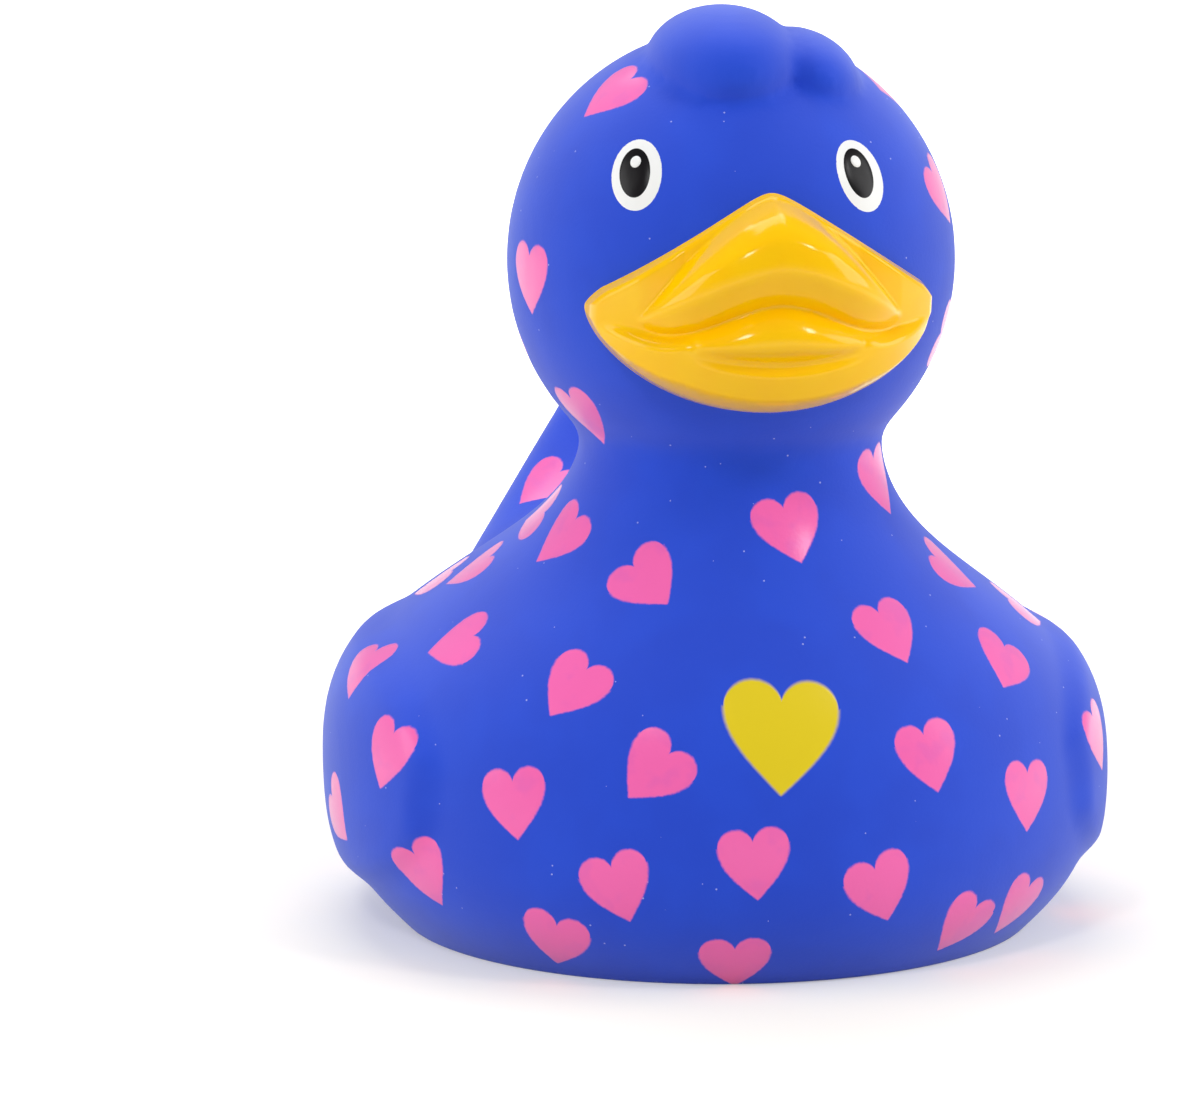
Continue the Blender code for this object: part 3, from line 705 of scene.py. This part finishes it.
def noise(tree, where, size, detail=2.0, roughness=0.5):
    """Cloudy pattern whose features are about as large as size, in metres."""
    return add_node(tree, "ShaderNodeTexNoise", {"Vector": where, "Scale": 1 / size, "Detail": detail,
                                                 "Roughness": roughness}).outputs["Fac"]


def new_material(name):
    material = bpy.data.materials.new(name)
    material.use_nodes = True
    tree = material.node_tree
    tree.nodes.clear()
    output = tree.nodes.new("ShaderNodeOutputMaterial")
    return material, tree, output


def finish_surface(tree, output, color, roughness, normal=None, **constants):
    """The shader that all of the duck's finishes share; the constants are set on its own sockets."""
    inputs = {"Base Color": color, "Roughness": roughness, **constants}
    if normal is not None:
        inputs["Normal"] = normal
    shader = add_node(tree, "ShaderNodeBsdfPrincipled", inputs)
    tree.links.new(shader.outputs[0], output.inputs["Surface"])
    return shader


def heart_inside(tree, where):
    """How deep inside a sprayed heart a point lies, in heart heights; below 0 outside."""
    place = add_node(tree, "ShaderNodeUVMap", uv_map="stamp_place").outputs[0]
    parts = add_node(tree, "ShaderNodeSeparateXYZ", {0: place})
    across = calculate(tree, "MULTIPLY", calculate(tree, "ABSOLUTE", parts.outputs[0]), 2.0)
    height = calculate(tree, "ADD", parts.outputs[1], 0.5)
    # Below three quarters of the height the sides draw in to the tip, above it two lobes meet in a notch
    share = add_node(tree, "ShaderNodeClamp", {0: calculate(tree, "DIVIDE", height, 0.75)}).outputs[0]
    side = calculate(tree, "SINE", calculate(tree, "MULTIPLY", share, pi / 2))
    past_tip = calculate(tree, "MINIMUM", height, 0.0)
    beside = calculate(tree, "ADD", calculate(tree, "SUBTRACT", side, across), calculate(tree, "MULTIPLY", past_tip, 4.0))
    lobe = calculate(tree, "DIVIDE", calculate(tree, "SUBTRACT", across, 0.49), 0.51)
    dome = calculate(tree, "SUBTRACT", 1.0, calculate(tree, "MULTIPLY", lobe, lobe))
    dome = calculate(tree, "SQRT", calculate(tree, "MAXIMUM", dome, 0.0))
    crown = calculate(tree, "ADD", 0.75, calculate(tree, "MULTIPLY", dome, 0.25))
    below = calculate(tree, "MULTIPLY", calculate(tree, "SUBTRACT", crown, height), 2.0)
    return calculate(tree, "MULTIPLY", calculate(tree, "MINIMUM", beside, below), 0.5)


def sprayed_vinyl(paint):
    """PVC vinyl, rotation moulded and sprayed with soft-touch matt blue: no glints, a pale bloom at grazing angles,
    a fine orange-peel grain and a few specks of dust. The pink hearts are semi-gloss, sprayed through a mask, so
    their edges are slightly fuzzy; the yellow one is a thicker coat."""
    material, tree, output = new_material("painted_vinyl")
    where = add_node(tree, "ShaderNodeTexCoord").outputs["Object"]
    inside = heart_inside(tree, where)
    fuzz = calculate(tree, "SUBTRACT", noise(tree, where, 0.00045, 3.0, 0.6), 0.5)
    ink = add_node(tree, "ShaderNodeSeparateXYZ", {0: add_node(tree, "ShaderNodeUVMap", uv_map="stamp_ink").outputs[0]})
    yellow = calculate(tree, "GREATER_THAN", ink.outputs[0], 0.5)
    raggedness = calculate(tree, "SUBTRACT", 0.040, calculate(tree, "MULTIPLY", yellow, 0.030))
    edge = calculate(tree, "ADD", inside, calculate(tree, "MULTIPLY", fuzz, raggedness))
    stencil = ramp_between(tree, edge, -0.028, 0.022)

    # Spray lies a little unevenly, over about 9 mm
    cloud = ramp_between(tree, noise(tree, where, 0.009), 0.35, 0.65)
    blue = mix_colors(tree, cloud, paint.vinyl, paint.vinyl_deep)
    # Dust: specks of about 0.15 mm, one in some of the cells 1.6 mm wide
    cells = add_node(tree, "ShaderNodeTexVoronoi", {"Vector": where, "Scale": 1 / 0.0016})
    chance = add_node(tree, "ShaderNodeSeparateColor", {0: cells.outputs["Color"]})
    speck = calculate(tree, "MULTIPLY", calculate(tree, "LESS_THAN", cells.outputs["Distance"], 0.055),
                      calculate(tree, "GREATER_THAN", chance.outputs[0], 0.55))
    blue = mix_colors(tree, calculate(tree, "MULTIPLY", speck, 0.5), blue, linear_color("D8DEF8"))
    ink_color = mix_colors(tree, yellow, paint.heart, paint.mark)
    # The pink lies thinner in places, over about 3 mm, and lets some blue through
    thick = ramp_between(tree, noise(tree, where, 0.003), 0.3, 0.5)
    body = calculate(tree, "ADD", 0.93, calculate(tree, "MULTIPLY", thick, 0.07))
    cover = calculate(tree, "MULTIPLY", stencil, calculate(tree, "MAXIMUM", body, yellow))
    shown = mix_colors(tree, cover, blue, ink_color)

    grain = noise(tree, where, 0.00035, 2.0)
    height = calculate(tree, "ADD", calculate(tree, "MULTIPLY", grain, 0.5),
                       calculate(tree, "MULTIPLY", stencil, calculate(tree, "ADD", 0.25,
                                                                     calculate(tree, "MULTIPLY", yellow, 2.0))))
    bump = add_node(tree, "ShaderNodeBump", {"Height": height, "Strength": 0.25, "Distance": 0.00008}).outputs[0]
    # Matt blue 0.75, semi-gloss hearts 0.22
    roughness = calculate(tree, "SUBTRACT", 0.75, calculate(tree, "MULTIPLY", stencil, 0.53))
    finish_surface(tree, output, shown, roughness, bump, **{
        "IOR": 1.50, "Specular IOR Level": 0.28, "Sheen Weight": 0.38, "Sheen Roughness": 0.55,
        "Sheen Tint": (*paint.bloom, 1.0)})
    return material


def bill_enamel(paint):
    """Solvent enamel, brushed thick on the vinyl: a wet gloss with crisp lamps in it, and a warmer tone in random
    patches about 3 mm across."""
    material, tree, output = new_material("yellow_enamel")
    where = add_node(tree, "ShaderNodeTexCoord").outputs["Object"]
    # A warmer tone in random patches about 3 mm across; it follows no fold
    warm_patches = ramp_between(tree, noise(tree, where, 0.0030), 0.30, 0.70)
    shown = mix_colors(tree, calculate(tree, "MULTIPLY", warm_patches, 0.25), paint.bill, paint.bill_warm)
    # Brush marks, about 0.8 mm apart
    ripple = noise(tree, where, 0.0008, 1.0)
    bump = add_node(tree, "ShaderNodeBump", {"Height": ripple, "Strength": 0.10, "Distance": 0.0001}).outputs[0]
    finish_surface(tree, output, shown, 0.12, bump, **{"IOR": 1.50, "Specular IOR Level": 0.30})
    return material


def eye_enamel(name, shown):
    """Dots of thick gloss enamel, printed on: hard reflections and hardly any texture."""
    material, tree, output = new_material(name)
    where = add_node(tree, "ShaderNodeTexCoord").outputs["Object"]
    # Slight unevenness of the dried film, over about 1 mm
    film = noise(tree, where, 0.0010, 1.0)
    bump = add_node(tree, "ShaderNodeBump", {"Height": film, "Strength": 0.08, "Distance": 0.00005}).outputs[0]
    roughness = calculate(tree, "ADD", 0.26, calculate(tree, "MULTIPLY", film, 0.10))
    finish_surface(tree, output, (*shown, 1.0), roughness, bump, **{"IOR": 1.50, "Specular IOR Level": 0.25})
    return material


# Operators


class RUBBERDUCK_OT_body(bpy.types.Operator):
    """Builds the duck's skin: torso, tail, wings, neck, head, crest and flat underside"""
    bl_idname = "rubber_duck.body"
    bl_label = "Body"

    def execute(self, context):
        sizes = context.scene.duck_body_sizes
        place, size = sizes.head_place, sizes.head_size
        skin = grow_together("soft_form", [body_mesh(sizes), tail_mesh(sizes), egg_mesh((0, *place), size)],
                             sizes.fineness, 0.0024)
        points = read_points(skin.data)
        points += read_normals(skin.data) * wing_relief(sizes, points)[:, None]
        forms = skin.data.copy()
        forms.vertices.foreach_set("co", points.ravel())
        bpy.data.objects.remove(skin)
        droop = Matrix.Rotation(sizes.crest_curl_droop, 4, "Y")
        skin = grow_together("duck_skin", [
            forms,
            egg_mesh(sizes.crest_lobe_place, sizes.crest_lobe_size),
            egg_mesh(sizes.crest_curl_place, sizes.crest_curl_size, droop),
        ], sizes.fineness, 0.0007)
        flat_underside(skin.data, sizes.vent)
        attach(skin, "root")
        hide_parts("duck_body")
        return {"FINISHED"}


class RUBBERDUCK_OT_print(bpy.types.Operator):
    """Sprays the hearts on the skin and gives it its material"""
    bl_idname = "rubber_duck.print"
    bl_label = "Print"

    def execute(self, context):
        paint = context.scene.duck_paint
        sizes = context.scene.duck_body_sizes
        skin = bpy.data.objects["duck_skin"]
        surface = surface_of(skin.data)
        bill_middle = Vector((0, -0.036, 0.0640))

        def keep_out(place, normal):
            # The front has its own hearts, the underside and the bill have none
            facing = normal.dot(Vector((-0.15, -0.97, 0.17)))
            return facing > 0.0 or place.z < 0.004 or (place - bill_middle).length < 0.022

        stage = context.scene.duck_stage
        front = [photo_stamp(surface, stage, *heart)
                 for heart in HEAD_HEARTS + SHOULDER_HEARTS + CHEST_HEARTS + FLANK_HEARTS + LOW_HEARTS]
        chest = photo_stamp(surface, stage, *YELLOW_HEART)
        behind = scattered_stamps(surface, skin.data, front + [chest], paint.spacing, paint.seed, keep_out)
        stamps = [(stamp, paint.heart_height, 0.0) for stamp in front + behind]
        stamps.append((chest, paint.mark_height, 1.0))
        write_stamp_maps(skin.data, stamps)
        shade(skin, sprayed_vinyl(paint), sharp=radians(55))
        return {"FINISHED"}


class RUBBERDUCK_OT_bill(bpy.types.Operator):
    """Builds the bill with its flange, lips, mouth line and tongue"""
    bl_idname = "rubber_duck.bill"
    bl_label = "Bill"

    def execute(self, context):
        scene = context.scene
        surface = surface_of(bpy.data.objects["duck_skin"].data)
        piece = add_piece("bill", bill_mesh(scene.duck_body_sizes, scene.duck_bill_sizes, surface))
        shade(piece, bill_enamel(scene.duck_paint), sharp=radians(60))
        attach(piece, "root")
        return {"FINISHED"}


def paint_dot(name, surface, place, half_sizes, lean, coats, thickness):
    """A thin lens of paint on the skin, its edge sunk into it."""
    middle, right, up, out = stamp_frame(surface, place[0], -place[1], place[2], lean)
    builder = bmesh.new()
    rings, around = 12, 64
    half_width, half_height = half_sizes

    def put(u, v, share):
        start = middle + right * u + up * v + out * 0.004
        hit, normal, _, _ = surface.ray_cast(start, -out)
        dome = thickness * (1 - share ** 4)
        return hit + out * (coats * thickness + dome - 0.5 * thickness)

    top = builder.verts.new(put(0, 0, 0))
    previous = None
    for i in range(1, rings + 1):
        share = i / rings
        ring = []
        for k in range(around):
            turn = 2 * pi * k / around
            ring.append(builder.verts.new(put(half_width * share * cos(turn), half_height * share * sin(turn), share)))
        for k in range(around):
            j = (k + 1) % around
            if previous:
                builder.faces.new((previous[k], ring[k], ring[j], previous[j]))
            else:
                builder.faces.new((top, ring[k], ring[j]))
        previous = ring
    sunk = [builder.verts.new(vertex.co - out * (coats + 1.5) * thickness) for vertex in previous]
    for k in range(around):
        j = (k + 1) % around
        builder.faces.new((previous[k], sunk[k], sunk[j], previous[j]))
    builder.faces.new(list(reversed(sunk)))
    bmesh.ops.recalc_face_normals(builder, faces=builder.faces)
    mesh = bpy.data.meshes.new(name)
    builder.to_mesh(mesh)
    builder.free()
    return add_piece(name, mesh)


class RUBBERDUCK_OT_eyes(bpy.types.Operator):
    """Paints the eyes: white oval, black pupil and a white glint"""
    bl_idname = "rubber_duck.eyes"
    bl_label = "Eyes"

    def execute(self, context):
        scene = context.scene
        eyes = scene.duck_eye_sizes
        paint = scene.duck_paint
        surface = surface_of(bpy.data.objects["duck_skin"].data)
        white = eye_enamel("white_enamel", paint.eye_white)
        black = eye_enamel("black_enamel", paint.pupil)
        for side, place, lean in (("left", eyes.left_place, radians(15)), ("right", eyes.right_place, radians(-1))):
            coats = (("white", eyes.white, (0.0, 0.0), white, 0), ("pupil", eyes.pupil, (-0.0002, 0.0002), black, 1),
                     ("glint", eyes.glint, (-0.0003, 0.0014), white, 2))
            for kind, half_sizes, offset, material, coat in coats:
                spot = (place[0] + offset[0], place[1], place[2] + offset[1])
                piece = paint_dot("eye_" + kind + "_" + side, surface, spot, half_sizes, lean, coat, eyes.paint)
                shade(piece, material, sharp=radians(60))
                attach(piece, "root")
        return {"FINISHED"}


class RUBBERDUCK_OT_stage(bpy.types.Operator):
    """Sets out the floor, the soft lamps, the sky and the camera"""
    bl_idname = "rubber_duck.stage"
    bl_label = "Stage"

    def execute(self, context):
        stage = context.scene.duck_stage
        self.floor(stage)
        self.sky(context.scene, stage)
        self.lamps(stage)
        self.camera(context.scene, stage)
        context.scene.view_settings.view_transform = "Standard"
        return {"FINISHED"}

    def floor(self, stage):
        builder = bmesh.new()
        bmesh.ops.create_circle(builder, cap_ends=True, segments=96, radius=3.0)
        mesh = bpy.data.meshes.new("floor")
        builder.to_mesh(mesh)
        builder.free()
        floor = add_piece("floor", mesh)
        # A hair below the flat underside, so that the two don't lie in one plane
        floor.location.z = -stage.clearance
        material, tree, output = new_material("studio_paper")
        # Matt paper that keeps the duck's real shadow. Seen directly, in reflections and through glass it also glows
        # white, but the glow is dimmed near the duck as painted shade round it
        paper = add_node(tree, "ShaderNodeBsdfDiffuse", {"Color": (*stage.floor, 1.0)})
        path = add_node(tree, "ShaderNodeLightPath").outputs
        seen = calculate(tree, "MAXIMUM", path["Is Camera Ray"], path["Is Glossy Ray"])
        seen = calculate(tree, "MAXIMUM", seen, path["Is Transmission Ray"])
        where = add_node(tree, "ShaderNodeTexCoord").outputs["Object"]
        away = add_node(tree, "ShaderNodeVectorMath", {0: where}, operation="LENGTH").outputs["Value"]
        # Painted shade: the glow is 0.3 within 6 cm of the duck and rises to full at 30 cm
        glow_with_painted_shade_near = calculate(tree, "ADD", 0.30, calculate(tree, "MULTIPLY", ramp_between(tree, away, 0.06, 0.30), 0.70))
        glow = add_node(tree, "ShaderNodeEmission", {"Color": (1.0, 1.0, 1.0, 1.0),
                                                     "Strength": calculate(tree, "MULTIPLY", seen, glow_with_painted_shade_near)})
        both = add_node(tree, "ShaderNodeAddShader", {0: paper.outputs[0], 1: glow.outputs[0]})
        tree.links.new(both.outputs[0], output.inputs["Surface"])
        floor.data.materials.append(material)

    def sky(self, scene, stage):
        world = bpy.data.worlds.new("studio_sky")
        scene.world = world
        world.use_nodes = True
        tree = world.node_tree
        tree.nodes.clear()
        path = add_node(tree, "ShaderNodeLightPath").outputs
        direct = calculate(tree, "MAXIMUM", path["Is Camera Ray"], path["Is Glossy Ray"])
        direct = calculate(tree, "MAXIMUM", direct, path["Is Transmission Ray"])
        # White round the horizon, and a dimmer room above it
        way = add_node(tree, "ShaderNodeTexCoord").outputs["Generated"]
        rise = add_node(tree, "ShaderNodeSeparateXYZ", {0: way}).outputs[2]
        room = mix_colors(tree, ramp_between(tree, rise, 0.02, 0.30), (1.0, 1.0, 1.0), stage.room)
        shown = mix_colors(tree, direct, stage.sky, room)
        glow = add_node(tree, "ShaderNodeBackground", {"Color": shown, "Strength": 1.0})
        output = tree.nodes.new("ShaderNodeOutputWorld")
        tree.links.new(glow.outputs[0], output.inputs["Surface"])

    def lamps(self, stage):
        """Two soft boxes, left and right above the camera, and a larger one above and behind the duck."""
        aim = Vector((0, 0, 0.045))
        for name, azimuth, elevation, size, share in LAMPS:
            turn, rise = radians(azimuth), radians(elevation)
            way = Vector((sin(turn) * cos(rise), -cos(turn) * cos(rise), sin(rise)))
            light = bpy.data.lights.new(name, "AREA")
            light.shape = "SQUARE"
            light.size = size
            light.energy = stage.lamp_power * share
            lamp = bpy.data.objects.new(name, light)
            bpy.context.scene.collection.objects.link(lamp)
            lamp.location = aim + way
            lamp.rotation_mode = "QUATERNION"
            lamp.rotation_quaternion = (-way).to_track_quat("-Z", "Y")

    def camera(self, scene, stage):
        right, up, back = lens_axes(stage)
        data = bpy.data.cameras.new("camera")
        data.lens = stage.lens
        data.sensor_width = SENSOR_WIDTH
        data.clip_start, data.clip_end = 0.01, 20.0
        camera = bpy.data.objects.new("camera", data)
        scene.collection.objects.link(camera)
        turned = Matrix((right, up, back)).transposed().to_4x4()
        camera.matrix_world = Matrix.Translation(lens_place(stage)) @ turned
        scene.camera = camera


class RUBBERDUCK_PT_panel(bpy.types.Panel):
    """Lists the duck's steps"""
    bl_idname = "RUBBERDUCK_PT_panel"
    bl_label = "Rubber Duck"
    bl_space_type = "VIEW_3D"
    bl_region_type = "UI"
    bl_category = "Rubber Duck"

    def draw(self, context):
        for step in STEPS:
            self.layout.operator(step.bl_idname)


SETTINGS = (
    ("duck_body_sizes", DuckBodySizes),
    ("duck_bill_sizes", DuckBillSizes),
    ("duck_eye_sizes", DuckEyeSizes),
    ("duck_paint", DuckPaint),
    ("duck_stage", DuckStage),
)
STEPS = (RUBBERDUCK_OT_body, RUBBERDUCK_OT_print, RUBBERDUCK_OT_bill, RUBBERDUCK_OT_eyes, RUBBERDUCK_OT_stage)


def register():
    for name, group in SETTINGS:
        bpy.utils.register_class(group)
        setattr(bpy.types.Scene, name, PointerProperty(type=group))
    for step in STEPS:
        bpy.utils.register_class(step)
    bpy.utils.register_class(RUBBERDUCK_PT_panel)


def unregister():
    bpy.utils.unregister_class(RUBBERDUCK_PT_panel)
    for step in reversed(STEPS):
        bpy.utils.unregister_class(step)
    for name, group in reversed(SETTINGS):
        delattr(bpy.types.Scene, name)
        bpy.utils.unregister_class(group)


def main():
    register()
    bpy.ops.rubber_duck.body()
    bpy.ops.rubber_duck.print()
    bpy.ops.rubber_duck.bill()
    bpy.ops.rubber_duck.eyes()
    bpy.ops.rubber_duck.stage()


if __name__ == "__main__":
    main()
